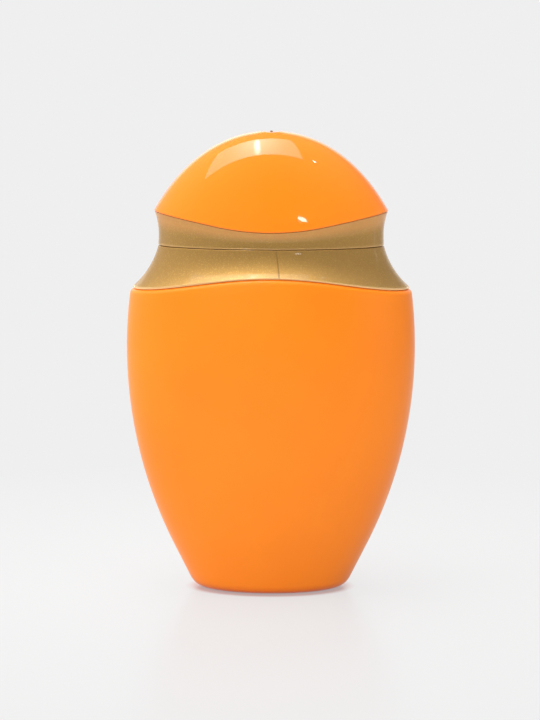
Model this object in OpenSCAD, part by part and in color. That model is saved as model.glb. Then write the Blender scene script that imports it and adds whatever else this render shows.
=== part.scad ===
// Flat oval sunscreen bottle with a screw cap. The cap is an oval shell over a round threaded
// cap, and its parting line with the collar is level, while the two colour breaks rise and dip
// in the middle of the front and back. The origin is on the floor under the neck's axis.

/* [Body] */
// Width of the body at its widest level
body_w = 69; // [64:0.5:76]
// Depth of the body at its widest level
body_d = 37; // [35:0.5:44]
// Width that the sides run down to at the floor, before the foot is rounded
foot_w = 36.4; // [30:0.2:44]
// Depth that the front and back run down to at the floor, before the foot is rounded
foot_d = 20.8; // [18:0.1:26]
// Height of the widest level above the floor
belly_z = 58; // [50:1:64]
// Radius of the arc that curves the sides
side_r = 107; // [85:1:140]
// Height below which the sides run straight down to the foot
straight_z = 10.5; // [4:0.5:20]
// Height of the body's top edge at its two sides
body_h = 72.6; // [70:0.2:80]
// How much higher that edge is in the middle of the front and back
body_rise = 3.7; // [0:0.1:5]
// How strongly that rise is gathered towards the middle
rise_power = 1.5; // [1:0.1:2.5]
// Radius that rounds the body's top edge
edge_round = 1.2; // [0.5:0.1:1.4]
// Radius that rounds the foot at its two ends
foot_round_w = 4.4; // [1:0.1:5]
// Radius that rounds the foot at the front and back
foot_round_d = 3; // [1:0.1:3.6]
// Width of the ring that the bottle stands on
foot_ring = 1.6; // [1:0.1:2.4]
// Height of the hollow under the base
push_up = 1.2; // [0.6:0.1:2]
// Wall of the bottle
bottle_wall = 1.2; // [0.9:0.1:1.6]

/* [Collar] */
// Height of the collar at its two sides
collar_h = 10.3; // [8:0.1:12]
// Gap between the body's top edge and the collar
collar_reveal = 0.15; // [0.1:0.05:0.5]
// How far the collar's lower edge is set in from the body's side
collar_inset = 0.5; // [0.4:0.05:1.2]
// How far the collar's upper edge stands out beyond the cap's waist
collar_out = 0.15; // [0:0.05:0.3]
// Slope of the collar's flare at its lower edge, from upright
flare_low = 49; // [40:1:60]
// Slope of the collar's flare at its upper edge, from upright
flare_high = 14; // [5:1:20]
// Radius that rounds the collar's thin lower edge
collar_edge = 0.25; // [0.1:0.05:0.3]
// Wall of the collar
collar_wall = 1.2; // [1:0.1:1.5]
// Thickness of the collar's deck round the neck
deck_t = 1.2; // [0.9:0.1:1.6]

/* [Cap] */
// Gap between the collar and the closed cap
seam_gap = 0.2; // [0.15:0.05:0.8]
// Radius that rounds the collar's and the cap's edges at that gap
seam_round = 0.25; // [0.15:0.05:0.4]
// Width of the cap at its waist
waist_w = 53.5; // [50:0.1:58]
// Depth of the cap at its waist
waist_d = 28.6; // [28:0.2:33]
// Height of the gold band at its two sides
band_h = 7.8; // [6.5:0.05:9]
// How much lower the band's top edge is in the middle of the front and back
rim_drop = 4.15; // [0:0.05:5]
// Half of the width over which that dip is rounded
rim_bend = 12.4; // [4:0.2:20]
// How far the band's top edge stands out beyond the waist
rim_flare = 0.9; // [0.6:0.05:1.6]
// Wall of the band
band_wall = 1.3; // [1:0.1:1.5]
// Gap between the band's top edge and the dome
dome_reveal = 0.15; // [0.1:0.05:0.4]
// How far the dome's lower edge stands out beyond the band
dome_out = 0.1; // [0:0.05:0.3]
// Radius that rounds the dome's lower edge
dome_edge = 0.25; // [0.1:0.05:0.5]
// Height of the dome above its rim at the two sides
dome_h = 19; // [17:0.05:24]
// Wall of the dome
dome_wall = 1.6; // [1.2:0.1:2]
// Width of the round moulding gate mark on top of the dome
gate_w = 4.4; // [3:0.1:6]
// Depth of that mark
gate_depth = 0.2; // [0.1:0.05:0.5]

/* [Neck and seal] */
// Outer diameter of the neck without its thread
neck_od = 16; // [15:0.1:16.6]
// Bore of the neck
neck_bore = 12.6; // [11:0.1:13.4]
// Height of the neck above the collar
neck_h = 8.6; // [7:0.1:9.5]
// Diameter of the round base of the neck, which the collar snaps on
neck_base_od = 19.2; // [18.6:0.1:19.8]
// Thickness of the plug's flange on the neck's rim
plug_flange = 0.9; // [0.6:0.1:1.4]
// Height of the plug's spout above its flange
spout_h = 1; // [0.6:0.1:1.4]
// Outer diameter of the spout
spout_od = 8; // [6:0.1:9.5]
// Diameter of the orifice in the spout
orifice_d = 3.6; // [2:0.1:4.4]
// Length of the plug's skirt inside the neck
plug_skirt = 6; // [4:0.1:8]
// Wall of the plug
plug_wall = 1; // [0.7:0.1:1.3]
// Thickness of the seal disc
liner_t = 1.3; // [0.8:0.1:1.8]

/* [Inner cap] */
// Bore of the inner cap without its thread
sleeve_bore = 18.2; // [18:0.1:18.6]
// Wall of the inner cap's sleeve
sleeve_wall = 1.3; // [1.1:0.05:1.5]
// Thickness of the inner cap's top and of its oval flange
plate_t = 1.2; // [0.9:0.1:1.5]
// How far the flange is set up into the cap
flange_inset = 0.9; // [0.5:0.1:1.5]
// Number of upright ribs on the sleeve
rib_count = 16; // [8:2:24]
// How far those ribs stand out
rib_depth = 0.6; // [0.3:0.1:0.8]

/* [Hidden] */

// Colours of the plastics
orange = [0.98, 0.54, 0.16];
gold = [0.76, 0.62, 0.36];
white = [0.95, 0.95, 0.93];
natural = [0.97, 0.96, 0.92];

// Clearances: round parts that snap or turn in each other, the pressed plug, and the seal
fit = 0.15;
press = 0.05;
seal_gap = 0.05;

// How far a cut runs past the faces that it opens
past = 1;

// Facets round true circles, which the exact solids don't keep
round_fn = 96;

// Facets round the oval shells, and steps along their profiles
sides = 60;
foot_steps = 5;
body_steps = 10;
shoulder_steps = 3;
edge_steps = 3;
flare_steps = 7;
band_steps = 6;
dome_steps = 10;

// Half width and half depth of the body's belly and foot, of the cap's waist and rim, and of
// the collar's upper edge
belly = [body_w / 2, body_d / 2];
foot = [foot_w / 2, foot_d / 2];
waist = [waist_w / 2, waist_d / 2];
rim = [waist[0] + rim_flare, waist[1] + rim_flare * waist_d / waist_w];
collar_rim = waist + [collar_out, collar_out];

// Levels, from the floor up
collar_z = body_h + collar_reveal;
collar_top = body_h + collar_h;
band_z = collar_top + seam_gap;
rim_z = band_z + band_h;
dome_z = rim_z + dome_reveal;
total_h = dome_z + dome_h;
neck_top = collar_top + neck_h;
spout_top = neck_top + plug_flange + spout_h;
liner_z = spout_top + seal_gap;
cap_top_z = liner_z + liner_t + seal_gap;
sleeve_z = band_z + flange_inset;

// Neck base: its foot under the collar's deck, its top above that deck, and its snap bead
neck_foot_drop = 1.1;
neck_base_rise = 0.5;
bead_rise = 0.85;
bead_h = 0.4;
bead_out = 0.35;
neck_foot_z = collar_top - deck_t - neck_foot_drop;
neck_base_top = collar_top + neck_base_rise;
bead_z = neck_foot_z + bead_rise;

// The two wavy edges: lift at the share c of the half width, from -1 through 0 to 1
function body_wave(c) = body_rise * pow(cos(90 * c), rise_power);
function dip(x) = x < rim_bend ? x * x / (2 * rim_bend) : x - rim_bend / 2;
function rim_wave(c) = rim_drop * (dip(abs(c) * rim[0]) / dip(rim[0]) - 1);

// An oval or round ring of a shell is [half width, half depth, height, share of the wave]
function oval_ring(half, inset, z, lift = 0) = [half[0] - inset, half[1] - inset, z, lift];
function round_ring(r, z, lift = 0) = [r, r, z, lift];

// Body ring at the height z: the sides follow an arc over the belly and run out straight below
straight_slope = (belly_z - straight_z) / sqrt(pow(side_r, 2) - pow(belly_z - straight_z, 2));
function arc_in(z) =
    z < straight_z ? arc_in(straight_z) + straight_slope * (straight_z - z)
        : side_r - sqrt(pow(side_r, 2) - pow(z - belly_z, 2));
function body_ring(z, inset = 0, lift = 0) =
    oval_ring(belly - (belly - foot) * arc_in(z) / arc_in(0), inset, z, lift);

// Ring of the rounded foot at the height z: each radius turns a wall of this lean into the floor
foot_radii = [foot_round_w, foot_round_d];
foot_leans = [for (i = [0, 1]) atan((belly[i] - foot[i]) * straight_slope / arc_in(0))];
foot_top = max([for (i = [0, 1]) foot_radii[i] * (1 - sin(foot_leans[i]))]);
function foot_inset(z, r, lean) =
    z >= r * (1 - sin(lean)) ? 0
        : r * tan(45 - lean / 2) + z * tan(lean) - sqrt(pow(r, 2) - pow(r - z, 2));
function rounded_foot(z) =
    let (wall = body_ring(z))
    [
        wall[0] - foot_inset(z, foot_radii[0], foot_leans[0]),
        wall[1] - foot_inset(z, foot_radii[1], foot_leans[1]),
        z, 0
    ];

// Collar ring at the share t of its flare, from the sharp corner that the lower edge rounds
// off, at 0, to the start of the rounded upper edge, at 1
edge_back = collar_edge * tan(45 + flare_low / 2);
collar_foot = body_ring(body_h, collar_inset + collar_edge - edge_back);
flare_top = collar_top - seam_round * (1 - sin(flare_high));
function flare_angle(t) = flare_low + (flare_high - flare_low) * t;
function flare_share(t) = (cos(flare_high) - cos(flare_angle(t))) / (cos(flare_high) - cos(flare_low));
function flare_rise(t) = (sin(flare_low) - sin(flare_angle(t))) / (sin(flare_low) - sin(flare_high));
function collar_ring(t, inset = 0, top = flare_top) =
    let (out = [collar_foot[0], collar_foot[1]] - collar_rim)
    oval_ring(
        collar_rim + out * flare_share(t), inset,
        collar_z + (top - collar_z) * flare_rise(t), 1 - flare_rise(t)
    );

// Rings of the collar's rounded edges, where the surface faces up by the angle f
function lower_edge(f) =
    let (up = collar_edge * (1 + sin(f)))
    oval_ring(collar_foot, edge_back - collar_edge * cos(f), collar_z + up, 1 - up / (flare_top - collar_z));
function upper_edge(f) =
    oval_ring(collar_rim, seam_round * (cos(flare_high) - cos(f)), collar_top - seam_round * (1 - sin(f)));

// Band ring at the share t of its height, out to a small lip below the waist and to the rim above
waist_share = 0.33;
lip_share = 0.12;
function band_swell(t) =
    t > waist_share ? pow((t - waist_share) / (1 - waist_share), 2)
        : lip_share * pow(1 - t / waist_share, 2);
function band_ring(t) = oval_ring(waist + (rim - waist) * band_swell(t), 0, band_z + band_h * t, t);

// Dome ring at the share t of a cubic curve: it leaves the sharp corner that the lower edge
// rounds off with a lean, and ends level on top
dome_lean = 0.56;
rim_handle = 13;
top_handle = 10.5;
dome_slope = atan(dome_lean);
dome_back = dome_edge * tan(45 + dome_slope / 2);
corner_out = dome_out + dome_back - dome_edge;
dome_foot = rim + [corner_out, corner_out];
function cubic(a, b, c, d, t) =
    pow(1 - t, 3) * a + 3 * pow(1 - t, 2) * t * b + 3 * (1 - t) * t * t * c + t * t * t * d;
function dome_ring(inset, t) =
    let (
        half = dome_foot - [inset, inset],
        h = dome_h - inset,
        out = cubic(half[0], half[0] - dome_lean * rim_handle, top_handle, 0, t),
        up = cubic(0, rim_handle, h, h, t)
    )
    oval_ring(half * out / half[0], 0, dome_z + up, pow(1 - up / h, 2));

// Ring of the dome's rounded lower edge, where the surface faces up by the angle f
function dome_nose(f) =
    let (up = dome_edge * (1 + sin(f)))
    oval_ring(dome_foot, dome_back - dome_edge * cos(f), dome_z + up, pow(1 - up / dome_h, 2));

// Closed skin through a list of rings, flat at both ends, or joined end to end
module loft(rings, wave, joined = false) {
    points = [
        for (r = rings)
            for (i = [0 : sides - 1])
                let (c = cos(360 * i / sides), s = sin(360 * i / sides))
                    [r[0] * c, r[1] * s, r[2] + r[3] * wave(c)]
    ];
    count = len(rings);
    spans = joined ? count : count - 1;
    skin = [
        for (k = [0 : spans - 1])
            for (i = [0 : sides - 1])
                let (j = (i + 1) % sides, a = k * sides, b = ((k + 1) % count) * sides)
                    each [[a + i, b + i, b + j], [a + i, b + j, a + j]]
    ];
    ends = joined ? [] : [
        [for (i = [0 : sides - 1]) i],
        [for (i = [0 : sides - 1]) count * sides - 1 - i]
    ];
    polyhedron(points = points, faces = concat(skin, ends), convexity = 10);
}

// Ring of rectangular section round the neck's axis
module washer(outer_r, inner_r, z, h) {
    translate([0, 0, z])
        rotate_extrude($fn = round_fn)
            translate([inner_r, 0])
                square([outer_r - inner_r, h]);
}

// Bottle's shoulder under the collar: a clearance that widens towards the neck
shoulder_end = 0.62;
shoulder_spread = 1.6;
shoulder_sink = 0.35;
function shoulder_ring(t, inset = 0, drop = 0) =
    let (r = collar_ring(t, collar_wall + fit + shoulder_spread * t + inset))
    [r[0], r[1], r[2] - collar_reveal - shoulder_sink * t - drop, r[3]];

// Heights where the body's sides begin to follow the wave of its top edge, and where that
// edge's rounding begins
wave_from = 46;
side_end = body_h - edge_round;
function wave_share(z) = z < wave_from ? 0 : pow((z - wave_from) / (side_end - wave_from), 2);

// Foot: slope and flat middle of the hollow under it, and the rounded corner inside
hollow_slope = 1.2;
middle_share = 0.3;
inner_round = 2.6;

// Top of the inside: share of the wall that it stays below the edge, land and mouth at the neck
inner_edge_share = 0.75;
neck_land_w = 0.8;
neck_mouth_w = 0.6;

module bottle_shell() {
    inner_end = side_end - bottle_wall * inner_edge_share;
    floor_z = push_up + bottle_wall;
    sole = rounded_foot(0);
    hollow = [sole[0] - foot_ring - hollow_slope, sole[1] - foot_ring - hollow_slope];
    under = [
        oval_ring(hollow * middle_share, 0, push_up),
        oval_ring(hollow, 0, push_up),
        oval_ring(sole, foot_ring, 0)
    ];
    corner = [for (i = [0 : foot_steps - 1]) rounded_foot(foot_top * pow(i / foot_steps, 2))];
    side = [
        for (i = [0 : body_steps])
            let (z = foot_top + (side_end - foot_top) * i / body_steps)
                body_ring(z, 0, wave_share(z))
    ];
    edge = [
        for (i = [1 : edge_steps])
            let (f = 90 * i / edge_steps)
                body_ring(side_end + edge_round * sin(f), edge_round * (1 - cos(f)), 1)
    ];
    shoulder = [for (i = [0 : shoulder_steps]) shoulder_ring(shoulder_end * i / shoulder_steps)];
    land = neck_base_od / 2 + neck_land_w;
    mouth = neck_bore / 2 + neck_mouth_w;
    neck_seat = [
        round_ring(land, neck_foot_z),
        round_ring(mouth, neck_foot_z),
        round_ring(mouth, neck_foot_z - bottle_wall)
    ];
    inner_shoulder = [
        for (i = [shoulder_steps : -1 : 1])
            shoulder_ring(shoulder_end * i / shoulder_steps, bottle_wall, bottle_wall)
    ];
    inner_side = [
        for (i = [body_steps : -1 : 1])
            let (z = floor_z + (inner_end - floor_z) * i / body_steps)
                body_ring(z, bottle_wall, wave_share(z))
    ];
    inner_floor = [
        body_ring(floor_z + inner_round / 3, bottle_wall + inner_round / 3),
        body_ring(floor_z, bottle_wall + inner_round)
    ];
    outside = concat(under, corner, side, edge, shoulder, neck_seat);
    loft(concat(outside, inner_shoulder, inner_side, inner_floor), function(c) body_wave(c));
}

// Neck: round base with its snap bead, then the tube that carries the thread
neck_root = 0.4;
neck_lead = 0.5;
bead_lead = 0.1;
module neck() {
    base_r = neck_base_od / 2;
    bead_r = base_r + bead_out;
    tube_r = neck_od / 2;
    bore_r = neck_bore / 2;
    rotate_extrude($fn = round_fn)
        polygon([
            [bore_r, neck_foot_z - neck_root],
            [base_r, neck_foot_z - neck_root],
            [base_r, bead_z],
            [bead_r, bead_z + bead_lead],
            [bead_r, bead_z + bead_h - bead_lead],
            [base_r, bead_z + bead_h],
            [base_r, neck_base_top],
            [tube_r, neck_base_top],
            [tube_r, neck_top - neck_lead],
            [tube_r - neck_lead, neck_top],
            [bore_r, neck_top]
        ]);
}

// The lug on the neck and the rib in the cap meet when the oval cap is in line with the body
stop_w = 1.6;
lug_h = 1.5;
rib_h = 1.1;
stop_root = 0.5;
module stop_lug() {
    reach = sleeve_bore / 2 - fit;
    intersection() {
        washer(reach, neck_od / 2 - stop_root, neck_base_top - stop_root, lug_h + stop_root);
        translate([0, -fit / 2 - stop_w, neck_base_top - stop_root])
            cube([reach, stop_w, lug_h + stop_root]);
    }
}

module bottle() {
    color(orange)
        union() {
            bottle_shell();
            neck();
            stop_lug();
        }
}

// Collar: flared shell with a deck, and a snap ring round the neck's base
snap_wall = 2;
snap_overlap = 0.6;
deck_step = 0.2;
module collar_shell() {
    deck_under = collar_top - deck_t;
    hole = neck_base_od / 2 + snap_wall - snap_overlap;
    lower = [for (i = [0 : edge_steps]) lower_edge(-90 + (90 + flare_low) * i / edge_steps)];
    flare = [for (i = [1 : flare_steps]) collar_ring(i / flare_steps)];
    upper = [for (i = [1 : edge_steps]) upper_edge(flare_high + (90 - flare_high) * i / edge_steps)];
    deck = [
        round_ring(hole, collar_top),
        round_ring(hole, deck_under),
        oval_ring(collar_rim, collar_wall, deck_under)
    ];
    inside = [
        for (i = [flare_steps - 1 : -1 : 0])
            collar_ring(i / flare_steps, collar_wall, deck_under)
    ];
    loft(concat(lower, flare, upper, deck, inside), function(c) body_wave(c), joined = true);
}

module snap_ring() {
    hole_r = neck_base_od / 2 + fit;
    ring_z = neck_foot_z + deck_step;
    ring_top = collar_top - deck_step;
    difference() {
        washer(neck_base_od / 2 + snap_wall, hole_r, ring_z, ring_top - ring_z);
        washer(hole_r + bead_out, hole_r - fit, bead_z - fit, bead_h + 2 * fit);
    }
}

module shoulder_collar() {
    color(gold)
        union() {
            collar_shell();
            snap_ring();
        }
}

// Plug: flange on the neck's rim, skirt in its bore and a low spout with the orifice
plug_lead = 0.35;
module nozzle_plug() {
    skirt_r = neck_bore / 2 - press;
    core_r = skirt_r - plug_wall;
    flange_r = neck_od / 2 - neck_lead + fit;
    spout_r = spout_od / 2;
    orifice_r = orifice_d / 2;
    skirt_z = neck_top - plug_skirt;
    web_top = neck_top + plug_flange;
    color(natural)
        rotate_extrude($fn = round_fn)
            polygon([
                [orifice_r, web_top - plug_wall],
                [core_r, web_top - plug_wall],
                [core_r, skirt_z],
                [skirt_r - plug_lead, skirt_z],
                [skirt_r, skirt_z + 2 * plug_lead],
                [skirt_r, neck_top],
                [flange_r, neck_top],
                [flange_r, web_top],
                [spout_r, web_top],
                [spout_r - plug_lead, spout_top],
                [orifice_r + plug_lead, spout_top],
                [orifice_r, spout_top - plug_lead]
            ]);
}

// Seal disc in the top of the inner cap
module cap_liner() {
    color(white)
        translate([0, 0, liner_z])
            cylinder(r = sleeve_bore / 2 - fit, h = liner_t, $fn = round_fn);
}

// Inner cap: sleeve with a top, ribs, gussets, and an oval flange that closes the cap's underside
sleeve_r = sleeve_bore / 2 + sleeve_wall;
rib_w = 1;
rib_short = 0.6;
gusset_h = 6;
gusset_tip = 1.2;
gusset_spread = 4;
gusset_clear = 3;

module flange() {
    half = waist - [band_wall + fit, band_wall + fit];
    translate([0, 0, sleeve_z])
        scale([1, half[1] / half[0], 1])
            cylinder(r = half[0], h = plate_t, $fn = round_fn);
}

module sleeve_ribs() {
    root = sleeve_wall / 2;
    foot_z = sleeve_z + plate_t / 2;
    rib_top = cap_top_z + plate_t - rib_short;
    for (i = [0 : rib_count - 1])
        rotate([0, 0, 360 * (i + 0.5) / rib_count])
            translate([sleeve_r - root, -rib_w / 2, foot_z])
                cube([root + rib_depth, rib_w, rib_top - foot_z]);
}

module gusset(y) {
    reach = waist[0] - band_wall - sleeve_r - gusset_clear;
    translate([sleeve_r - sleeve_wall, y + rib_w / 2, sleeve_z + plate_t / 2])
        rotate([90, 0, 0])
            linear_extrude(rib_w)
                polygon([[0, 0], [reach, 0], [reach, gusset_tip], [sleeve_wall, gusset_h], [0, gusset_h]]);
}

// Bore of the sleeve, from which the stop rib stands in
module sleeve_hollow() {
    rib_in = neck_od / 2 + fit;
    low = sleeve_z - past;
    difference() {
        translate([0, 0, low])
            cylinder(r = sleeve_bore / 2, h = cap_top_z - low, $fn = round_fn);
        difference() {
            translate([0, fit / 2, low - past])
                cube([sleeve_r, stop_w, past + past + rib_h]);
            translate([0, 0, low - 2 * past])
                cylinder(r = rib_in, h = rib_h + 4 * past, $fn = round_fn);
        }
    }
}

module inner_cap() {
    color(white)
        difference() {
            union() {
                translate([0, 0, sleeve_z])
                    cylinder(r = sleeve_r, h = cap_top_z + plate_t - sleeve_z, $fn = round_fn);
                flange();
                sleeve_ribs();
                for (side = [0, 180], y = [-gusset_spread, gusset_spread])
                    rotate([0, 0, side])
                        gusset(y);
            }
            sleeve_hollow();
        }
}

// Band: concave ring with a lip at the seam and a spigot that the dome sits on
spigot_t = 0.075;
spigot_wall = 0.9;
module cap_band() {
    shelf = dome_wall + fit;
    lip = band_ring(0);
    low = [
        for (i = [edge_steps : -1 : 0])
            let (f = 90 * i / edge_steps)
                oval_ring(lip, seam_round * (1 - cos(f)), band_z + seam_round * (1 - sin(f)))
    ];
    outside = [for (i = [1 : band_steps]) band_ring(i / band_steps)];
    top = dome_ring(shelf, spigot_t);
    spigot = [
        oval_ring(dome_foot, shelf, rim_z, 1),
        top,
        oval_ring(top, spigot_wall, top[2], top[3])
    ];
    inside = [
        oval_ring(waist, band_wall, band_z + band_h / 2, 0.5),
        oval_ring(waist, band_wall, band_z)
    ];
    color(gold)
        loft(concat(low, outside, spigot, inside), function(c) rim_wave(c), joined = true);
}

// Dome: shell over the band, with a shallow round gate mark and its pip on top
inner_dome_end = 0.96;
outer_dome_end = 0.78;
gate_edge = 0.5;
gate_sink = 0.1;
gate_lean = 0.065;
pip_r = 0.35;
pip_top_r = 0.25;
module cap_dome() {
    gate_z = total_h - gate_sink;
    gate_r = gate_w / 2;
    inside = [for (i = [dome_steps : -1 : 0]) dome_ring(dome_wall, inner_dome_end * i / dome_steps)];
    nose = [for (i = [0 : edge_steps]) dome_nose(-90 + (90 + dome_slope) * i / edge_steps)];
    outside = [for (i = [1 : dome_steps]) dome_ring(0, outer_dome_end * i / dome_steps)];
    gate = [
        round_ring(gate_r + gate_edge, gate_z, gate_lean),
        round_ring(gate_r, gate_z - gate_depth),
        round_ring(pip_r, gate_z - gate_depth),
        round_ring(pip_top_r, total_h)
    ];
    color(orange)
        loft(concat(inside, nose, outside, gate), function(c) rim_wave(c));
}

bottle();
shoulder_collar();
nozzle_plug();
cap_liner();
inner_cap();
cap_band();
cap_dome();
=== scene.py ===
import bmesh
import bpy
import math
from mathutils import Matrix, Quaternion, Vector


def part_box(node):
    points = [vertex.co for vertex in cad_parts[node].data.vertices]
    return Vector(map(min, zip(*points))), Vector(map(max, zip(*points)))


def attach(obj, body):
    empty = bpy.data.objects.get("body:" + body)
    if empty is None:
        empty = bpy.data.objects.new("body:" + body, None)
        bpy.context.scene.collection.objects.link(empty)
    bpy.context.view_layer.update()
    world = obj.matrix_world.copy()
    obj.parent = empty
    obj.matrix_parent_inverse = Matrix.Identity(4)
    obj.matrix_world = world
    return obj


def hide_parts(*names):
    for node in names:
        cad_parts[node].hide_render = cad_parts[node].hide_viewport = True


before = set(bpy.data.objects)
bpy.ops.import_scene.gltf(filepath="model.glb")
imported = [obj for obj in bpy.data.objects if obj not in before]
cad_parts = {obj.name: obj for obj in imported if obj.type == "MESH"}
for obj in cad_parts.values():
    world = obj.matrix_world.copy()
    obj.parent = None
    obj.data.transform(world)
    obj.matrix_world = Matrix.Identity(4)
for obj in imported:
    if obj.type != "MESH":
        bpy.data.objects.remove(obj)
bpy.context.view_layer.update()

mm = 0.001
upright = math.pi / 2
scene = bpy.context.scene


# Levels that the pieces share, read from the CAD frame and given in millimetres
def low(node):
    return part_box(node)[0] / mm


def high(node):
    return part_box(node)[1] / mm


# Parting lines: how far the body's edge stays under the collar, and the band's edge comes below its solid's
partingLine = {"bodyUnder": 0.03, "bandLower": 0.08}

seam = {
    "collarLow": low("shoulder_collar").z,
    "collarTop": high("shoulder_collar").z,
    "bandLow": low("cap_band").z - partingLine["bandLower"],
    "neckTop": high("bottle").z,
}

# Body: half sizes of belly and foot, heights, and the wave of its top edge
body = {
    "belly": (high("bottle").x, high("bottle").y),
    "foot": (18.2, 10.4),
    "sideRadius": 107.0,
    "bellyZ": 58.0,
    "straightZ": 10.5,
    "edgeZ": seam["collarLow"] - partingLine["bodyUnder"],
    "rise": 3.7,
    "risePower": 1.5,
    "waveFrom": 46.0,
    "edgeRound": 1.2,
    "footRound": (4.4, 3.0),
    "ringWide": 1.6,
    "pushUp": 1.2,
    "wall": 1.2,
}

# Collar: how far its flare faces up at its low and high ends in degrees, its edges, walls and snap ring
collar = {
    "inset": 0.5,
    "out": 0.15,
    "reveal": seam["collarLow"] - body["edgeZ"],
    "flareLow": 49.0,
    "flareHigh": 14.0,
    "edge": 0.25,
    "seamRound": 0.25,
    "wall": 1.2,
    "deck": 1.2,
    "snapWall": 2.0,
    "ringUp": 0.2,
    "fit": 0.15,
}

# Cap: half sizes of its waist, the band's flare and wave, and the dome's curve, walls and gate mark
cap = {
    "waist": (26.75, 14.3),
    "flare": 0.9,
    "bandHigh": 7.97,
    "drop": 4.15,
    "bend": 12.4,
    "bandWall": 1.3,
    "reveal": 0.06,
    "domeOut": 0.1,
    "domeEdge": 0.25,
    "domeHigh": 19.0,
    "domeWall": 1.6,
    "lean": 0.56,
    "rimHandle": 13.0,
    "topHandle": 10.5,
    "waistShare": 0.33,
    "lipShare": 0.12,
    "gateWide": 4.4,
    "gateDeep": 0.2,
}

# Neck: radii, the snap bead on its base, and the inner cap's bore round it
neck = {
    "tube": 8.0,
    "bore": 6.3,
    "base": 9.6,
    "lead": 0.5,
    "beadOut": 0.35,
    "beadHigh": 0.4,
    "beadSlope": 0.1,
    "beadUp": 0.85,
    "baseDown": 2.3,
    "baseUp": 0.5,
    "sleeveBore": 9.1,
}
neck["footZ"] = seam["collarTop"] - neck["baseDown"]
neck["beadZ"] = neck["footZ"] + neck["beadUp"]
neck["baseTop"] = seam["collarTop"] + neck["baseUp"]

rim = tuple(w + cap["flare"] * w / cap["waist"][0] for w in cap["waist"])
rimZ = seam["bandLow"] + cap["bandHigh"]
domeZ = rimZ + cap["reveal"]
topZ = domeZ + cap["domeHigh"]
domeSlope = math.atan(cap["lean"])
domeBack = cap["domeEdge"] * math.tan(math.pi / 4 + domeSlope / 2)
domeFoot = tuple(w + cap["domeOut"] + domeBack - cap["domeEdge"] for w in rim)
collarRim = tuple(w + collar["out"] for w in cap["waist"])


# A profile point is (half width, half depth, height, share of the wave), in millimetres
def oval(half, inset, z, lift=0.0):
    return (half[0] - inset, half[1] - inset, z, lift)


def ring(radius, z, lift=0.0):
    return (radius, radius, z, lift)


def mix(a, b, t):
    return tuple(p + (q - p) * t for p, q in zip(a, b))


# Even steps from 0 to 1
def span(count):
    return [i / count for i in range(count + 1)]


# Waves of the parting lines, by the cosine of the angle round the bottle. The rim's bends at the front and
# runs out straight to the sides
def bodyWave(c):
    return body["rise"] * max(0.0, math.cos(upright * c)) ** body["risePower"]


def dip(x):
    return x * x / (2 * cap["bend"]) if x < cap["bend"] else x - cap["bend"] / 2


def rimWave(c):
    return cap["drop"] * (dip(abs(c) * rim[0]) / dip(rim[0]) - 1)


# Body side: an arc over the belly, which runs out straight down to the foot
def straightSlope():
    start = body["bellyZ"] - body["straightZ"]
    return start / math.sqrt(body["sideRadius"] ** 2 - start ** 2)


def arcIn(z):
    if z < body["straightZ"]:
        return arcIn(body["straightZ"]) + straightSlope() * (body["straightZ"] - z)
    return body["sideRadius"] - math.sqrt(body["sideRadius"] ** 2 - (z - body["bellyZ"]) ** 2)


def bodyRing(z, inset=0.0, lift=0.0):
    return oval(mix(body["belly"], body["foot"], arcIn(z) / arcIn(0)), inset, z, lift)


# Foot: a round edge that meets each leaning wall and the floor smoothly
def footLean(axis):
    return math.atan((body["belly"][axis] - body["foot"][axis]) * straightSlope() / arcIn(0))


def footInset(z, axis):
    radius, lean = body["footRound"][axis], footLean(axis)
    if z >= radius * (1 - math.sin(lean)):
        return 0
    curve = math.sqrt(radius ** 2 - (radius - z) ** 2)
    return radius * math.tan(math.pi / 4 - lean / 2) + z * math.tan(lean) - curve


def footRing(z):
    wide, deep, _, _ = bodyRing(z)
    return (wide - footInset(z, 0), deep - footInset(z, 1), z, 0)


# The body's wave fades in over its upper side
def waveShare(z):
    return max(0.0, (z - body["waveFrom"]) / (body["edgeZ"] - body["edgeRound"] - body["waveFrom"])) ** 2


# Collar: a concave arc from the body's edge up to the seam, with both of its edges rounded
edgeBack = collar["edge"] * math.tan(math.radians(45 + collar["flareLow"] / 2))
flareTop = seam["collarTop"] - collar["seamRound"] * (1 - math.sin(math.radians(collar["flareHigh"])))


def collarRing(t, inset=0.0, top=None):
    top = flareTop if top is None else top
    start, end = math.radians(collar["flareLow"]), math.radians(collar["flareHigh"])
    angle = start + (end - start) * t
    out = (math.cos(end) - math.cos(angle)) / (math.cos(end) - math.cos(start))
    up = (math.sin(start) - math.sin(angle)) / (math.sin(start) - math.sin(end))
    z = seam["collarLow"] + (top - seam["collarLow"]) * up
    return oval(mix(collarRim, collarFoot(), out), inset, z, 1 - up)


def collarFoot():
    return bodyRing(body["edgeZ"], collar["inset"] + collar["edge"] - edgeBack)[:2]


# Rings of the collar's rounded edges, where the surface faces up by this angle
def lowerEdge(angle):
    up = collar["edge"] * (1 + math.sin(angle))
    share = 1 - up / (flareTop - seam["collarLow"])
    return oval(collarFoot(), edgeBack - collar["edge"] * math.cos(angle), seam["collarLow"] + up, share)


def upperEdge(angle):
    inset = collar["seamRound"] * (math.cos(math.radians(collar["flareHigh"])) - math.cos(angle))
    return oval(collarRim, inset, seam["collarTop"] - collar["seamRound"] * (1 - math.sin(angle)))


# Band: narrowest at its waist, with a slight swell to its lip and a larger one to its rim
def bandRing(t):
    edge = cap["waistShare"]
    swell = ((t - edge) / (1 - edge)) ** 2 if t > edge else cap["lipShare"] * (1 - t / edge) ** 2
    return oval(mix(cap["waist"], rim, swell), 0, seam["bandLow"] + cap["bandHigh"] * t, t)


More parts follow.
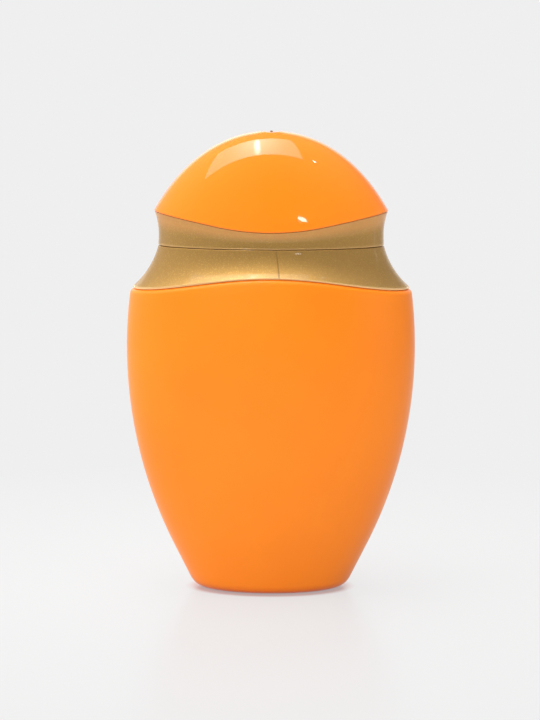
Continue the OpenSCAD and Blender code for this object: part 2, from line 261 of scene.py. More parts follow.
# Curve from a to d, which leaves towards b and arrives from c
def cubic(a, b, c, d, t):
    return (1 - t) ** 3 * a + 3 * (1 - t) ** 2 * t * b + 3 * (1 - t) * t * t * c + t ** 3 * d


# Dome: one curve from the rim up to the middle, and the rings of its rounded lower edge
def domeRing(inset, t):
    half = (domeFoot[0] - inset, domeFoot[1] - inset)
    tall = cap["domeHigh"] - inset
    out = cubic(half[0], half[0] - cap["lean"] * cap["rimHandle"], cap["topHandle"], 0, t)
    up = cubic(0, cap["rimHandle"], tall, tall, t)
    return (out, out * half[1] / half[0], domeZ + up, (1 - up / tall) ** 2)


def domeNose(angle):
    up = cap["domeEdge"] * (1 + math.sin(angle))
    inset = domeBack - cap["domeEdge"] * math.cos(angle)
    return oval(domeFoot, inset, domeZ + up, (1 - up / cap["domeHigh"]) ** 2)


# Radii of the corners in the profiles
corner = {"crisp": 0.06, "fine": 0.1, "small": 0.15, "soft": 0.2, "wide": 0.3, "full": 0.5}


# Rounds each marked corner of a profile: an entry is a point, or (point, radius)
def rounded(entries, closed, steps=5, mostOfSide=0.49):
    points = [e[0] if isinstance(e[0], tuple) else e for e in entries]
    radii = [e[1] if isinstance(e[0], tuple) else 0 for e in entries]
    count = len(points)
    out = []
    for i, (point, radius) in enumerate(zip(points, radii)):
        if not radius or (not closed and i in (0, count - 1)):
            out.append(point)
            continue
        ends = []
        for other in (points[i - 1], points[(i + 1) % count]):
            length = math.dist(point[:3], other[:3])
            ends.append(mix(point, other, min(radius / length, mostOfSide)))
        for t in span(steps):
            out.append(mix(mix(ends[0], point, t), mix(point, ends[1], t), t))
    return out


# Spins a profile into a shell, then makes each ring oval and lifts it along the wave
def spunShell(name, profile, wave, closed=False, turns=160):
    merged, onAxis = 1e-5, 1e-6  # millimetres
    bm = bmesh.new()
    depth = bm.verts.layers.float.new("depth")
    lift = bm.verts.layers.float.new("lift")
    verts = []
    for wide, deep, z, share in profile:
        vert = bm.verts.new((wide, 0, z))
        vert[depth] = deep / wide if wide else 1.0
        vert[lift] = share
        verts.append(vert)
    pairs = list(zip(verts, verts[1:])) + ([(verts[-1], verts[0])] if closed else [])
    edges = [bm.edges.new(pair) for pair in pairs]
    bmesh.ops.spin(bm, geom=verts + edges, cent=(0, 0, 0), axis=(0, 0, 1), dvec=(0, 0, 0),
                   angle=2 * math.pi, steps=turns, use_merge=True, use_duplicate=False)
    bmesh.ops.remove_doubles(bm, verts=bm.verts, dist=merged)
    for vert in bm.verts:
        x, y, z = vert.co
        radius = math.hypot(x, y)
        rise = vert[lift] * wave(x / radius) if radius > onAxis else 0
        vert.co = Vector((x, y * vert[depth], z + rise)) * mm
    bmesh.ops.recalc_face_normals(bm, faces=bm.faces)
    return finished(name, bm)


# Makes a bmesh an object of the scene
def finished(name, bm, smooth=True):
    for face in bm.faces:
        face.smooth = smooth
    mesh = bpy.data.meshes.new(name)
    bm.to_mesh(mesh)
    bm.free()
    piece = bpy.data.objects.new(name, mesh)
    scene.collection.objects.link(piece)
    return piece


# Gives a piece its material and body, and hides the CAD nodes that it stands for
def place(piece, rides, slotName, material, *nodes):
    piece.data.materials.append(material)
    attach(piece, rides)
    if nodes:
        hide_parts(*nodes)


# Shader maths: a wrapped socket takes the usual operators and adds the nodes for them
class Value:
    def __init__(self, tree, socket):
        self.tree = tree
        self.socket = socket

    def maths(self, operation, a, b=None):
        node = self.tree.nodes.new("ShaderNodeMath")
        node.operation = operation
        for slotInput, given in zip(node.inputs, (a, b)):
            if isinstance(given, Value):
                self.tree.links.new(given.socket, slotInput)
            elif given is not None:
                slotInput.default_value = given
        return Value(self.tree, node.outputs[0])

    def __add__(self, other):
        return self.maths("ADD", self, other)

    def __sub__(self, other):
        return self.maths("SUBTRACT", self, other)

    def __rsub__(self, other):
        return self.maths("SUBTRACT", other, self)

    def __mul__(self, other):
        return self.maths("MULTIPLY", self, other)

    def __truediv__(self, other):
        return self.maths("DIVIDE", self, other)

    def __pow__(self, other):
        return self.maths("POWER", self, other)

    def __gt__(self, other):
        return self.maths("GREATER_THAN", self, other)

    def __lt__(self, other):
        return self.maths("LESS_THAN", self, other)

    __radd__ = __add__
    __rmul__ = __mul__

    def clamp(self):
        result = self + 0.0
        result.socket.node.use_clamp = True
        return result

    # Bell curve of this value, with the given half width
    def bell(self, width):
        return self.maths("EXPONENT", -1.0 * (self / width) ** 2)


# One material, or the world, built node by node
class Finish:
    def __init__(self, name, world=False):
        self.material = (bpy.data.worlds if world else bpy.data.materials).new(name)
        self.material.use_nodes = True
        self.tree = self.material.node_tree
        self.tree.nodes.clear()
        self.output = self.tree.nodes.new("ShaderNodeOutputWorld" if world else "ShaderNodeOutputMaterial")

    # Any node: its settings come first, then the values or links of its sockets
    def node(self, kind, settings=None, sockets=None, out=0):
        node = self.tree.nodes.new("ShaderNode" + kind)
        for key, given in (settings or {}).items():
            setattr(node, key, given)
        for key, given in (sockets or {}).items():
            if isinstance(given, Value):
                self.tree.links.new(given.socket, node.inputs[key])
            else:
                node.inputs[key].default_value = given
        return Value(self.tree, node.outputs[out])

    # Object coordinates, scaled or plain
    def place(self, scale=None):
        where = self.node("TexCoord", out="Object")
        return self.node("Mapping", sockets={"Vector": where, "Scale": scale}) if scale else where

    # One coordinate of a place or direction
    def along(self, axis, where):
        return self.node("SeparateXYZ", sockets={0: where}, out=axis)

    def length(self, where):
        return self.node("VectorMath", {"operation": "LENGTH"}, {0: where}, out="Value")

    def noise(self, where, scale, detail=2.0):
        return self.node("TexNoise", sockets={"Vector": where, "Scale": scale, "Detail": detail})

    # Stretches a value from one range to 0 through 1, held at both ends
    def window(self, value, start, end):
        return self.node("MapRange", sockets={"Value": value, "From Min": start, "From Max": end})

    def blend(self, share, a, b):
        return self.node("Mix", {"data_type": "RGBA"}, {0: share, 6: a, 7: b}, out=2)

    # Two close shades in soft clouds
    def clouded(self, cloud, look):
        return self.blend(self.window(cloud, *look["clouds"]), look["colour"], look["shade"])

    # Relief is (strength, depth in metres)
    def bump(self, height, relief, normal=None):
        sockets = {"Height": height, "Strength": relief[0], "Distance": relief[1]}
        if normal is not None:
            sockets["Normal"] = normal
        return self.node("Bump", sockets=sockets)

    def plastic(self, **sockets):
        named = {key.replace("_", " "): given for key, given in sockets.items()}
        return self.done(self.node("BsdfPrincipled", sockets=named))

    def glowing(self, level):
        return self.node("Emission", sockets={"Color": rgb(1, 1, 1), "Strength": level})

    def done(self, shader):
        self.tree.links.new(shader.socket, self.output.inputs["Surface"])
        return self.material

    # 1 for rays of this kind, and 0 for the others
    def ray(self, kind):
        return self.node("LightPath", out="Is " + kind + " Ray")


def rgb(red, green, blue):
    return (red, green, blue, 1.0)


# Orange of the blow-moulded bottle: soft gloss, faint waviness and a fine skin
def bottleOrange():
    look = {
        "colour": rgb(0.955, 0.24, 0.006),
        "shade": rgb(0.935, 0.225, 0.005),
        "clouds": (0.35, 0.65),
        "cloudScale": 38,
        "cloudBump": (0.12, 0.0006),
        "streakScale": (520, 520, 14),
        "streakBump": (0.05, 0.0002),
        "skinScale": 900,
        "skinBump": (0.05, 0.00004),
        "rough": 0.3,
        "roughChange": 0.05,
        "ior": 1.4,
    }
    f = Finish("bottleOrange")
    cloud = f.noise(f.place(), look["cloudScale"], 3)
    skin = f.noise(f.place(), look["skinScale"])
    streak = f.noise(f.place(look["streakScale"]), 1)
    wavy = f.bump(streak, look["streakBump"], f.bump(cloud, look["cloudBump"]))
    return f.plastic(Base_Color=f.clouded(cloud, look),
                     Roughness=look["rough"] + look["roughChange"] * (cloud - 0.5),
                     Normal=f.bump(skin, look["skinBump"], wavy), IOR=look["ior"])


# Orange of the polished dome, with a dull broken pip at its gate, whose edge is in millimetres
def domeOrange():
    look = {
        "colour": rgb(0.96, 0.232, 0.004),
        "shade": rgb(0.95, 0.22, 0.004),
        "clouds": (0.35, 0.65),
        "cloudScale": 45,
        "cloudBump": (0.03, 0.0003),
        "skinScale": 700,
        "skinBump": (0.02, 0.00002),
        "rough": 0.05,
        "roughChange": 0.02,
        "ior": 1.5,
        "coat": 0.4,
        "pip": rgb(0.2, 0.09, 0.012),
        "pipEdge": (0.5, 0.42),
        "pipRough": 0.6,
    }
    f = Finish("domeOrange")
    cloud = f.noise(f.place(), look["cloudScale"])
    skin = f.noise(f.place(), look["skinScale"])
    fromAxis = f.length(f.place((1, 1, 0)))
    pip = f.window(fromAxis, *(radius * mm for radius in look["pipEdge"]))
    rough = look["rough"] + look["roughChange"] * (cloud - 0.5) + pip * (look["pipRough"] - look["rough"])
    return f.plastic(Base_Color=f.blend(pip, f.clouded(cloud, look), look["pip"]), Roughness=rough,
                     Normal=f.bump(skin, look["skinBump"], f.bump(cloud, look["cloudBump"])),
                     Coat_Weight=look["coat"] * (1 - pip), IOR=look["ior"])


# Knit line: the fine slanting mark on the collar's front where two flows of plastic met.
# Its ends are (across, height) in millimetres
knitLine = {
    "low": (2.15, seam["collarLow"] + 3.05),
    "high": (1.25, seam["collarTop"] - 0.2),
    "wide": 0.16,
    "fade": 6.0,
    "faint": 0.3,
    "dark": 0.75,
    "colour": rgb(0.24, 0.12, 0.03),
    "bump": (0.6, 0.00012),
}


def knitMark(f, line):
    x = f.along("X", f.place())
    y = f.along("Y", f.place())
    z = f.along("Z", f.place())
    bottom, top = line["low"], line["high"]
    slope = (top[0] - bottom[0]) / (top[1] - bottom[1])
    away = x - bottom[0] * mm - slope * (z - bottom[1] * mm)
    depth = f.window(z, top[1] * mm, (top[1] - line["fade"]) * mm) * (1 - line["faint"]) + line["faint"]
    return away.bell(line["wide"] * mm) * (y < 0) * depth


# Champagne gold paint: fine flakes that tilt this way and that under a smooth clear coat.
# What each piece has of its own: the shares of lift between which a painted highlight, pale and less
# metallic, runs along an edge, how strong it is, the weight of its coat, the shares over which a painted
# reflection makes it paler and warmer, and a knit line
goldPieces = {
    "goldBand": {"edge": (0.09, 0.03), "paintedHighlight": 0.3, "coat": 0.8, "paintedReflection": (0.4, 0.75)},
    "goldCollar": {"edge": (0.93, 0.955), "paintedHighlight": 1.0, "coat": 0.65, "knitLine": knitLine},
}


def goldPaint(name):
    look = {
        "colour": rgb(0.65, 0.38, 0.104),
        "shade": rgb(0.62, 0.36, 0.097),
        "cloudScale": 160,
        "flake": rgb(0.84, 0.54, 0.13),
        "flakeScale": 6600.0,
        "flakes": (0.8, 0.95),
        "flakeShare": 0.4,
        "tilt": 0.04,
        "flakeTilt": 0.14,
        # Painted reflection: a paler, warmer gold that stands in for the warm parts below mirrored in the
        # band's upper part
        "paintedReflection": rgb(0.84, 0.425, 0.12),
        # Painted highlight: the pale colour along the edges, where the metal is also turned down
        "edge": rgb(0.9, 0.6, 0.26),
        "rough": 0.6,
        "flakeRough": 0.42,
        "metal": 0.95,
        "edgeMetal": 0.25,
        "coatRough": 0.02,
    }
    own = goldPieces[name]
    f = Finish(name)
    where = f.place()
    lift = f.node("Attribute", {"attribute_name": "lift"}, out="Fac")
    flake = f.node("TexVoronoi", sockets={"Vector": where, "Scale": look["flakeScale"]}, out="Color")
    level = f.node("SeparateColor", sockets={"Color": flake})
    bright = f.window(level, *look["flakes"])
    colour = f.blend(f.noise(where, look["cloudScale"], 3), look["colour"], look["shade"])
    # Painted reflection: the band turns paler and warmer towards its top
    if "paintedReflection" in own:
        colour = f.blend(f.window(lift, *own["paintedReflection"]), colour, look["paintedReflection"])
    colour = f.blend(look["flakeShare"] * bright, colour, look["flake"])
    outward = f.node("NewGeometry", out="Normal")
    if "knitLine" in own:
        line = own["knitLine"]
        mark = knitMark(f, line)
        colour = f.blend(line["dark"] * mark, colour, line["colour"])
        outward = f.bump(1 - mark, line["bump"])
    tilt = f.node("VectorMath", {"operation": "SUBTRACT"}, {0: flake, 1: (0.5, 0.5, 0.5)})
    tilt = f.node("VectorMath", {"operation": "SCALE"},
                  {0: tilt, "Scale": look["tilt"] + look["flakeTilt"] * bright})
    tilted = f.node("VectorMath", {"operation": "ADD"}, {0: outward, 1: tilt})
    # Painted highlight: a pale, less metallic line along the band's lower lip and the collar's lower edge
    paintedHighlight = own["paintedHighlight"] * f.window(lift, *own["edge"])
    return f.plastic(Base_Color=f.blend(paintedHighlight, colour, look["edge"]),
                     Metallic=look["metal"] + (look["edgeMetal"] - look["metal"]) * paintedHighlight,
                     Roughness=look["rough"] + (look["flakeRough"] - look["rough"]) * bright,
                     Normal=f.node("VectorMath", {"operation": "NORMALIZE"}, {0: tilted}),
                     Coat_Weight=own["coat"], Coat_Roughness=look["coatRough"])


# White and natural plastic of the parts inside, faintly clouded, with a fine skin
def palePlastic(name, colour, rough):
    look = {"darker": 0.95, "cloudScale": 120, "roughChange": 0.08, "skinScale": 1500,
            "skinBump": (0.06, 0.00004)}
    f = Finish(name)
    cloud = f.noise(f.place(), look["cloudScale"])
    shade = f.blend(cloud, colour, rgb(*(look["darker"] * part for part in colour[:3])))
    return f.plastic(Base_Color=shade, Roughness=rough + look["roughChange"] * (cloud - 0.5),
                     Normal=f.bump(f.noise(f.place(), look["skinScale"]), look["skinBump"]))


# Foam of the liner: small cells, darker in their middles
def foamSheet():
    look = {"middle": rgb(0.78, 0.78, 0.76), "wall": rgb(0.9, 0.9, 0.88), "cellScale": 2400.0,
            "cellEdge": (0.0, 0.6), "cellBump": (0.3, 0.00015), "rough": 0.75}
    f = Finish("foamSheet")
    cell = f.node("TexVoronoi", sockets={"Vector": f.place(), "Scale": look["cellScale"]})
    shade = f.blend(f.window(cell, *look["cellEdge"]), look["middle"], look["wall"])
    return f.plastic(Base_Color=shade, Roughness=look["rough"], Normal=f.bump(cell, look["cellBump"]))


# Shoulder: it follows the underside of the collar, and leaves it a little more as it goes in
def shoulderRing(t, inset=0.0, drop=0.0):
    grow = {"end": 0.62, "spread": 1.6, "sink": 0.35}
    s = grow["end"] * t
    wide, deep, z, lift = collarRing(s, collar["wall"] + collar["fit"] + grow["spread"] * s + inset)
    return (wide, deep, z - collar["reveal"] - grow["sink"] * s - drop, lift)


# Bottle: base hollow, foot, side, rounded wavy edge, shoulder, neck, then the inside back down
def makeBottle():
    size = {
        "hollowSlope": 1.2,
        "hollowRings": (0.2, 0.5, 0.8),
        "innerRound": 2.6,
        "innerDrop": 0.75,
        "land": 0.8,
        "mouth": 0.6,
        "root": 0.4,
    }
    sole = footRing(0)
    hollow = [w - body["ringWide"] - size["hollowSlope"] for w in sole[:2]]
    footTop = max(body["footRound"][axis] * (1 - math.sin(footLean(axis))) for axis in (0, 1))
    sideEnd = body["edgeZ"] - body["edgeRound"]
    floorZ = body["pushUp"] + body["wall"]
    innerEnd = sideEnd - body["wall"] * size["innerDrop"]
    profile = [(0, 0, body["pushUp"], 0)]
    profile += [(w * hollow[0], w * hollow[1], body["pushUp"], 0) for w in size["hollowRings"]]
    profile += [(oval(hollow, 0, body["pushUp"]), corner["full"])]
    profile += [(oval(sole, body["ringWide"], 0), corner["wide"])]
    profile += [footRing(footTop * t * t) for t in span(16)[:-1]]
    for t in span(64):
        z = footTop + (sideEnd - footTop) * t
        profile.append(bodyRing(z, 0, waveShare(z)))
    for t in span(8)[1:]:
        z = sideEnd + body["edgeRound"] * math.sin(upright * t)
        profile.append(bodyRing(z, body["edgeRound"] * (1 - math.cos(upright * t)), 1))
    profile += [(shoulderRing(0), corner["soft"])]
    profile += [shoulderRing(t) for t in span(12)[1:]]
    base, bead, bore = neck["base"], neck["base"] + neck["beadOut"], neck["bore"]
    beadTop = neck["beadZ"] + neck["beadHigh"]
    rootZ = neck["footZ"] - size["root"]
    profile += [
        (ring(base + size["land"], neck["footZ"]), corner["wide"]),
        (ring(base, neck["footZ"]), corner["small"]),
        ring(base, neck["beadZ"]),
        ring(bead, neck["beadZ"] + neck["beadSlope"]),
        ring(bead, beadTop - neck["beadSlope"]),
        ring(base, beadTop),
        (ring(base, neck["baseTop"]), corner["small"]),
        (ring(neck["tube"], neck["baseTop"]), corner["soft"]),
        (ring(neck["tube"], seam["neckTop"] - neck["lead"]), corner["small"]),
        (ring(neck["tube"] - neck["lead"], seam["neckTop"]), corner["small"]),
        (ring(bore, seam["neckTop"]), corner["soft"]),
        (ring(bore, rootZ), corner["fine"]),
        (ring(bore + size["mouth"], rootZ), corner["fine"]),
        (ring(bore + size["mouth"], neck["footZ"] - body["wall"]), corner["soft"]),
    ]
    profile += [shoulderRing(t, body["wall"], body["wall"]) for t in reversed(span(9)[1:])]
    for t in reversed(span(30)[1:]):
        z = floorZ + (innerEnd - floorZ) * t
        profile.append(bodyRing(z, body["wall"], waveShare(z)))
    inner = size["innerRound"]
    profile += [bodyRing(floorZ + inner / 3, body["wall"] + inner / 3)]
    profile += [bodyRing(floorZ, body["wall"] + inner)]
    profile += [(0, 0, floorZ, 0)]
    return spunShell("bottle_body", rounded(profile, False), bodyWave)


# Thread: a small ridge swept up a helix from a wall, sunk into it a little and thinned at both ends
threads = {
    "neck_thread": {"wall": neck["tube"], "into": -0.1, "crest": 8.85, "z": seam["neckTop"] - 5.1,
                    "start": 0, "turns": 1.25},
    "inner_cap_thread": {"wall": neck["sleeveBore"], "into": 0.1, "crest": 8.25,
                         "z": low("inner_cap").z + 1.75, "start": 90, "turns": 1.0},
}


def makeThread(name):
    size = {"lead": 3.2, "rootHigh": 1.25, "crestHigh": 0.5, "steps": 72, "fade": 0.12, "endShare": 0.08}
    own = threads[name]
    root = own["wall"] + own["into"]
    tall = size["lead"] * own["turns"]
    bottom, top = own["z"], own["z"] + tall
    corners = [(root, -size["rootHigh"] / 2), (own["crest"], -size["crestHigh"] / 2),
               (own["crest"], size["crestHigh"] / 2), (root, size["rootHigh"] / 2)]
    bm = bmesh.new()
    face = bm.faces.new([bm.verts.new((radius, 0, bottom + up)) for radius, up in corners])
    steps = int(size["steps"] * own["turns"])
    bmesh.ops.spin(bm, geom=[face], cent=(0, 0, 0), axis=(0, 0, 1), dvec=(0, 0, tall / steps),
                   angle=2 * math.pi * own["turns"], steps=steps, use_merge=False, use_duplicate=False)
    bmesh.ops.recalc_face_normals(bm, faces=bm.faces)
    for vert in bm.verts:
        x, y, z = vert.co
        radius = math.hypot(x, y)
        toEnd = min(abs(z - bottom), abs(z - top))
        share = min(1.0, max(size["endShare"], toEnd / (size["fade"] * tall)))
        wanted = root + (radius - root) * share
        vert.co = Vector((x * wanted / radius, y * wanted / radius, z)) * mm
    start = Matrix.Rotation(math.radians(own["start"]), 4, "Z")
    bmesh.ops.rotate(bm, verts=bm.verts, cent=(0, 0, 0), matrix=start)
    return finished(name, bm)


# Collar: lower edge, flare, seam edge and deck, then the ring that snaps over the neck's bead
def makeCollar():
    deckUnder = seam["collarTop"] - collar["deck"]
    hole = neck["base"] + collar["fit"]
    groove = hole + neck["beadOut"]
    grooveLow = neck["beadZ"] - collar["fit"]
    grooveHigh = neck["beadZ"] + neck["beadHigh"] + collar["fit"]
    ringZ = neck["footZ"] + collar["ringUp"]
    ringOut = neck["base"] + collar["snapWall"]
    leanLow, leanHigh = math.radians(collar["flareLow"]), math.radians(collar["flareHigh"])
    profile = [(collarRing(0, collar["wall"], deckUnder), corner["soft"])]
    profile += [lowerEdge(-upright + (upright + leanLow) * t) for t in span(8)]
    profile += [collarRing(t) for t in span(40)[2:]]
    profile += [upperEdge(leanHigh + (upright - leanHigh) * t) for t in span(6)[1:]]
    profile += [
        mix(upperEdge(upright), ring(hole, seam["collarTop"]), 0.5),
        (ring(hole, seam["collarTop"]), corner["small"]),
        ring(hole, grooveHigh),
        ring(groove, grooveHigh),
        ring(groove, grooveLow),
        ring(hole, grooveLow),
        (ring(hole, ringZ), corner["fine"]),
        (ring(ringOut, ringZ), corner["fine"]),
        (ring(ringOut, deckUnder), corner["small"]),
        (oval(collarRim, collar["wall"], deckUnder), corner["wide"]),
    ]
    profile += [collarRing(t, collar["wall"], deckUnder) for t in reversed(span(24)[1:-1])]
    return spunShell("shoulder_collar_gold", rounded(profile, True), bodyWave, True)


# Band: rounded lip, swelling wall, the shelf under the dome, the spigot inside it, and the inner wall
def makeBand():
    size = {"spigot": 0.075, "spigotWall": 0.9}
    shelf = cap["domeWall"] + collar["fit"]
    lip = bandRing(0)
    top = domeRing(shelf, size["spigot"])
    profile = []
    for t in span(6):
        angle = upright * (1 - t)
        inset = collar["seamRound"] * (1 - math.cos(angle))
        profile.append(oval(lip, inset, seam["bandLow"] + collar["seamRound"] * (1 - math.sin(angle))))
    profile += [bandRing(t) for t in span(36)[2:-1]]
    profile += [
        (bandRing(1), corner["crisp"]),
        (oval(domeFoot, shelf, rimZ, 1), corner["fine"]),
        (top, corner["small"]),
        (oval(top, size["spigotWall"], top[2], top[3]), corner["small"]),
        (oval(cap["waist"], cap["bandWall"], seam["bandLow"] + cap["bandHigh"] / 2, 0.5), corner["full"]),
        (oval(cap["waist"], cap["bandWall"], seam["bandLow"]), corner["small"]),
    ]
    return spunShell("cap_band_gold", rounded(profile, True), rimWave, True)


# Dome: its inside from the top down, its lower edge, its outside up to the gate mark and the pip there
def makeDome():
    size = {
        "innerEnd": 0.96,
        "outerEnd": 0.81,
        "gateEdge": 0.5,
        "gateSink": 0.1,
        "gateLift": 0.065,
        "pip": 0.35,
        "pipTop": 0.7,
        "pipCrown": 0.03,
    }
    gate = cap["gateWide"] / 2
    gateZ = topZ - size["gateSink"]
    gateFloor = gateZ - cap["gateDeep"]
    profile = [(0, 0, topZ - cap["domeWall"], 0)]
    profile += [domeRing(cap["domeWall"], size["innerEnd"] * t) for t in reversed(span(24)[1:])]
    profile += [(domeRing(cap["domeWall"], 0), corner["soft"])]
    profile += [domeNose(-upright + (upright + domeSlope) * t) for t in span(10)]
    profile += [domeRing(0, size["outerEnd"] * t) for t in span(60)[2:]]
    profile += [
        (ring(gate + size["gateEdge"], gateZ, size["gateLift"]), corner["wide"]),
        (ring(gate - size["gateEdge"], gateFloor), corner["full"]),
        (ring(size["pip"], gateFloor), corner["small"]),
        (ring(size["pip"] * size["pipTop"], topZ - size["pipCrown"]), corner["fine"]),
        (0, 0, topZ, 0),
    ]
    return spunShell("cap_dome_orange", rounded(profile, False), rimWave)


print("stage: finishes")
orangeBody = bottleOrange()
orangeDome = domeOrange()
goldBand = goldPaint("goldBand")
goldCollar = goldPaint("goldCollar")
whitePlastic = palePlastic("whitePlastic", rgb(0.82, 0.82, 0.8), 0.4)
naturalPlastic = palePlastic("naturalPlastic", rgb(0.8, 0.81, 0.78), 0.45)
foam = foamSheet()

print("stage: pieces")
place(makeBottle(), "bottle", "bottle_orange", orangeBody, "bottle")
place(makeCollar(), "bottle", "gold_paint", goldCollar, "shoulder_collar")
place(makeBand(), "cap", "gold_paint", goldBand, "cap_band")
place(makeDome(), "cap", "dome_orange", orangeDome, "cap_dome")
place(makeThread("neck_thread"), "bottle", "bottle_orange", orangeBody)
place(makeThread("inner_cap_thread"), "cap", "white_plastic", whitePlastic)

print("stage: finishes of the CAD nodes that stay")
kept = {"inner_cap": whitePlastic, "nozzle_plug": naturalPlastic, "cap_liner": foam}
for nodeName, material in kept.items():
    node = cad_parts[nodeName]
    node.data.materials.clear()
    node.data.materials.append(material)


# Direction from the bottle to something around it, with both angles in degrees from the front
def outTo(around, up):
    around, up = math.radians(around), math.radians(up)
    return Vector((math.sin(around) * math.cos(up), -math.cos(around) * math.cos(up), math.sin(up)))


# Turns what looks down its own Z so that it faces back along this direction
def facing(direction, roll=0):
    turn = direction.to_track_quat("Z", "Y") @ Quaternion((0, 0, 1), math.radians(roll))
    return turn.to_euler()


# Camera: in front and a little above, as the photograph was taken
shot = {
    "distance": 508.5,
    "azimuth": 0.3,
    "pitch": 8.07,
    "roll": 0.14,
    "aimZ": 55.29,
    "aside": -0.2,
    "focalPixels": 2120.3,
    "longSide": 720,
    "sensor": 36.0,
    "clip": (0.01, 20),
}


def makeCamera():
    data = bpy.data.cameras.new("camera")
    camera = bpy.data.objects.new("camera", data)
    scene.collection.objects.link(camera)
    scene.camera = camera
    data.sensor_width = shot["sensor"]
    data.lens = shot["focalPixels"] * shot["sensor"] / shot["longSide"]
    data.clip_start, data.clip_end = shot["clip"]
    back = outTo(shot["azimuth"], shot["pitch"])
    camera.location = Vector((shot["aside"], 0, shot["aimZ"])) * mm + back * shot["distance"] * mm
    camera.rotation_euler = facing(back, shot["roll"])


# Floor: pale, glossy paper that fades into the backdrop, with a painted reddish bounce close round the foot.
# Its sizes are in metres, and the contact ends at so many times the foot's size
floor = {
    "radius": 0.45,
    "under": 0.0001,
    "near": 0.05,
    "far": 0.16,
    "least": 0.78,
    "mirrored": 0.6,
    "albedo": 0.5,
    "rough": 0.28,
    "gloss": 0.75,
    "contact": 0.5,
    "contactEnd": 1.14,
    "paintedBounce": rgb(0.5, 0.11, 0.05),
}


def makeFloor():
    bm = bmesh.new()
    bmesh.ops.create_circle(bm, cap_ends=True, segments=96, radius=floor["radius"])
    piece = finished("studio_floor", bm, smooth=False)
    piece.location.z = -floor["under"]
    f = Finish("paleFloor")
    shown = f.window(f.length(f.place()), floor["near"], floor["far"]) * (1 - floor["least"]) + floor["least"]
    inFeet = f.length(f.place(tuple(1 / (half * mm) for half in body["foot"]) + (0,)))
    contact = 1 - f.window(inFeet, 1.0, floor["contactEnd"])
    shown = shown * (1 - floor["contact"] * contact)
    shown = shown * f.ray("Camera") + floor["mirrored"] * f.ray("Glossy")
    # Painted bounce: the paper's colour turns reddish close round the foot
    paper = f.node("BsdfPrincipled", sockets={
        "Base Color": f.blend(contact, rgb(*[floor["albedo"]] * 3), floor["paintedBounce"]),
        "Roughness": floor["rough"],
        "Specular IOR Level": floor["gloss"],
    })
    plain = f.glowing(studio["tone"])
    piece.data.materials.append(f.done(f.node("MixShader", sockets={0: shown, 1: paper, 2: plain})))


# Room: the camera sees one plain tone. Matt surfaces get a soft fill and a rim light from behind. Gloss and
# metal mirror a darker room with a strip on the right, the backdrop low down and a glow above it. For both
# it is paler on the left and overhead. A pair gives where something sets in or ends, as the cosine of the
# angle to that side
studio = {
    "tone": 0.863,
    "fill": 0.36,
    "dark": 0.2,
    "left": 0.28,
    "leftBack": 0.2,
    "right": 0.21,
    "ceiling": 0.3,
    "ceilingFrom": (0.55, 0.95),
    "strip": 2.0,
    "stripBehind": 0.2,
    "stripWide": 0.014,
    "stripEnds": (0.35, 0.5),
    "backdropFrom": (0.55, 0.9),
    "backdropEnds": (0.12, 0.4),
    "glow": 1.9,
    "glowFrom": (0.78, 0.97),
    "glowUp": 0.15,
    "glowAcross": 1.6,
    "rim": 1.7,
    "rimToward": (-0.25, 0.82, 0.51),
    "rimFrom": (0.4, 0.9),
}


def makeWorld():
    f = Finish("studioRoom", world=True)
    toward = f.node("TexCoord", out="Generated")
    across = f.along("X", toward)
    behind = f.along("Y", toward)
    above = f.along("Z", toward)
    mirrored = f.ray("Glossy")
    room = studio["fill"] + mirrored * (studio["dark"] - studio["fill"])
    room = room + (0 - across).clamp() * (studio["left"] + studio["leftBack"] * (1 + behind))
    room = room + mirrored * studio["right"] * across.clamp()
    room = room + studio["ceiling"] * f.window(above, *studio["ceilingFrom"])
    strip = (behind - studio["stripBehind"]).bell(studio["stripWide"]) * (across > 0)
    strip = strip * (1 - f.window(above, *studio["stripEnds"]))
    room = room + mirrored * studio["strip"] * strip
    raised = mirrored * f.window(above, *studio["backdropEnds"])
    backdrop = f.window(behind, *studio["backdropFrom"]) * (1 - raised)
    room = room * (1 - backdrop) + studio["tone"] * backdrop
    glow = f.window(behind + studio["glowUp"] * above, *studio["glowFrom"])
    glow = glow * (1 - studio["glowAcross"] * across.clamp()).clamp()
    room = room + raised * studio["glow"] * glow
    rimward = f.node("VectorMath", {"operation": "DOT_PRODUCT"}, {0: toward, 1: studio["rimToward"]}, "Value")
    room = room + (1 - mirrored) * studio["rim"] * f.window(rimward, *studio["rimFrom"])
    seen = f.ray("Camera")
    strength = seen * studio["tone"] + (1 - seen) * room
    scene.world = f.done(f.node("Background", sockets={"Color": rgb(1, 1, 1), "Strength": strength}))


# Softbox over the bottle: a wide panel, brighter on the left, with its tube showing through.
# Places and sizes are in millimetres
softbox = {
    "left": -480,
    "right": 190,
    "frontY": -206,
    "frontZ": 595,
    "backY": 232,
    "backZ": 880,
    "backIn": 34,
    "level": 2.45,
    "leftLevel": 0.3,
    "leftFrom": (-50, 100),
    "tube": -101,
    "tubeLean": 0.075,
    "tubeY": -30,
    "tubeWide": 16,
    "tubeLong": 190,
    "tubeLevel": 17,
    "haloWide": 150,
    "haloLong": 380,
    "haloLevel": 3.3,
}


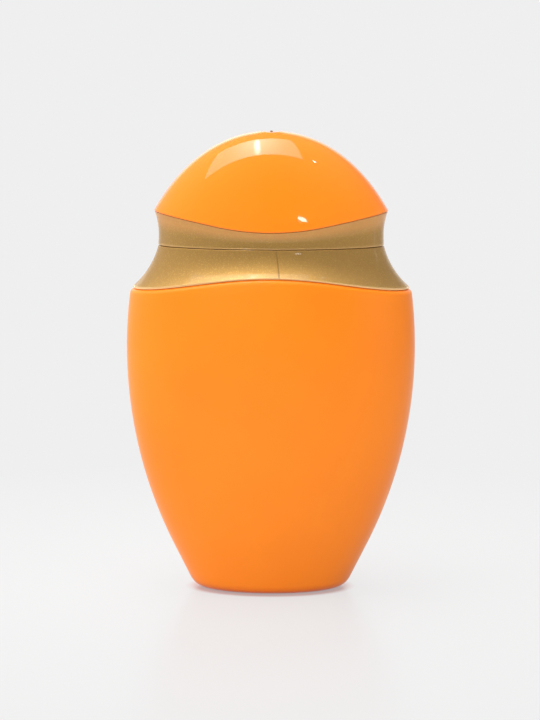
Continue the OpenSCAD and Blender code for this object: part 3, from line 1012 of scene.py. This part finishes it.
def makeSoftbox():
    box = softbox
    rise, run = box["backZ"] - box["frontZ"], box["backY"] - box["frontY"]
    wide, deep = box["right"] - box["left"], math.hypot(rise, run)
    centre = Vector(((box["left"] + box["right"]) / 2, (box["frontY"] + box["backY"]) / 2,
                     (box["frontZ"] + box["backZ"]) / 2))
    bm = bmesh.new()
    bmesh.ops.create_grid(bm, x_segments=1, y_segments=1, size=0.5)
    bmesh.ops.scale(bm, verts=bm.verts, vec=Vector((wide, deep, 1)) * mm)
    backRight = [vert for vert in bm.verts if vert.co.x > 0 and vert.co.y > 0]
    bmesh.ops.translate(bm, verts=backRight, vec=(-box["backIn"] * mm, 0, 0))
    panel = finished("studio_softbox", bm, smooth=False)
    panel.location = centre * mm
    panel.rotation_euler = (math.atan2(rise, run), 0, 0)
    panel.visible_camera = False
    f = Finish("softboxCloth")
    y = f.along("Y", f.place())
    fromTube = f.along("X", f.place()) - (box["tube"] - centre.x) * mm + box["tubeLean"] * y
    fromMiddle = y - box["tubeY"] * mm
    halo = fromTube.bell(box["haloWide"] * mm) * fromMiddle.bell(box["haloLong"] * mm)
    tube = fromTube.bell(box["tubeWide"] * mm) * fromMiddle.bell(box["tubeLong"] * mm)
    leftward = f.window(0 - fromTube, *(end * mm for end in box["leftFrom"]))
    level = box["level"] + box["leftLevel"] * leftward + box["haloLevel"] * halo + box["tubeLevel"] * tube
    panel.data.materials.append(f.done(f.glowing(level)))


# An area lamp that the camera doesn't see
def makeLamp(name, at):
    lamp = bpy.data.objects.new(name, bpy.data.lights.new(name, "AREA"))
    scene.collection.objects.link(lamp)
    lamp.location = at
    lamp.visible_camera = False
    return lamp


# Small lamps in the room, which show only as glints: place and size in millimetres, tilt in degrees
glintAimZ = 90
glints = {
    "window": {"at": (309, -1071, 570), "size": (98, 32), "tilt": -13, "level": 11},
    "pilot": {"at": (113, -69, 300), "size": (7, 9), "tilt": 0, "level": 26},
}


def makeGlint(name, own):
    lamp = makeLamp(name, Vector(own["at"]) * mm)
    lamp.data.shape = "ELLIPSE"
    lamp.data.size, lamp.data.size_y = (side * mm for side in own["size"])
    lamp.data.energy = own["level"] * math.pi * lamp.data.size * lamp.data.size_y
    lamp.rotation_euler = facing(lamp.location - Vector((0, 0, glintAimZ * mm)), own["tilt"])


# Soft lamps that light the room and aren't mirrored: direction and height in degrees, size in metres
softAimZ = 50
softLamps = {
    "frontLamp": {"around": -16, "up": 23, "away": 1.3, "size": 0.9, "level": 8.4},
    "leftLamp": {"around": -75, "up": 42, "away": 1.0, "size": 0.6, "level": 2.8},
    "rightLamp": {"around": 66, "up": 2, "away": 1.2, "size": 0.8, "level": 3.8},
}


def makeSoftLamp(name, own):
    direction = outTo(own["around"], own["up"])
    lamp = makeLamp(name, direction * own["away"] + Vector((0, 0, softAimZ * mm)))
    lamp.data.size = own["size"]
    lamp.data.energy = own["level"]
    lamp.rotation_euler = facing(direction)
    lamp.visible_glossy = False


print("stage: studio")
makeCamera()
makeFloor()
makeWorld()
makeSoftbox()
for lampName, lampFacts in glints.items():
    makeGlint(lampName, lampFacts)
for lampName, lampFacts in softLamps.items():
    makeSoftLamp(lampName, lampFacts)
scene.view_settings.view_transform = "Standard"
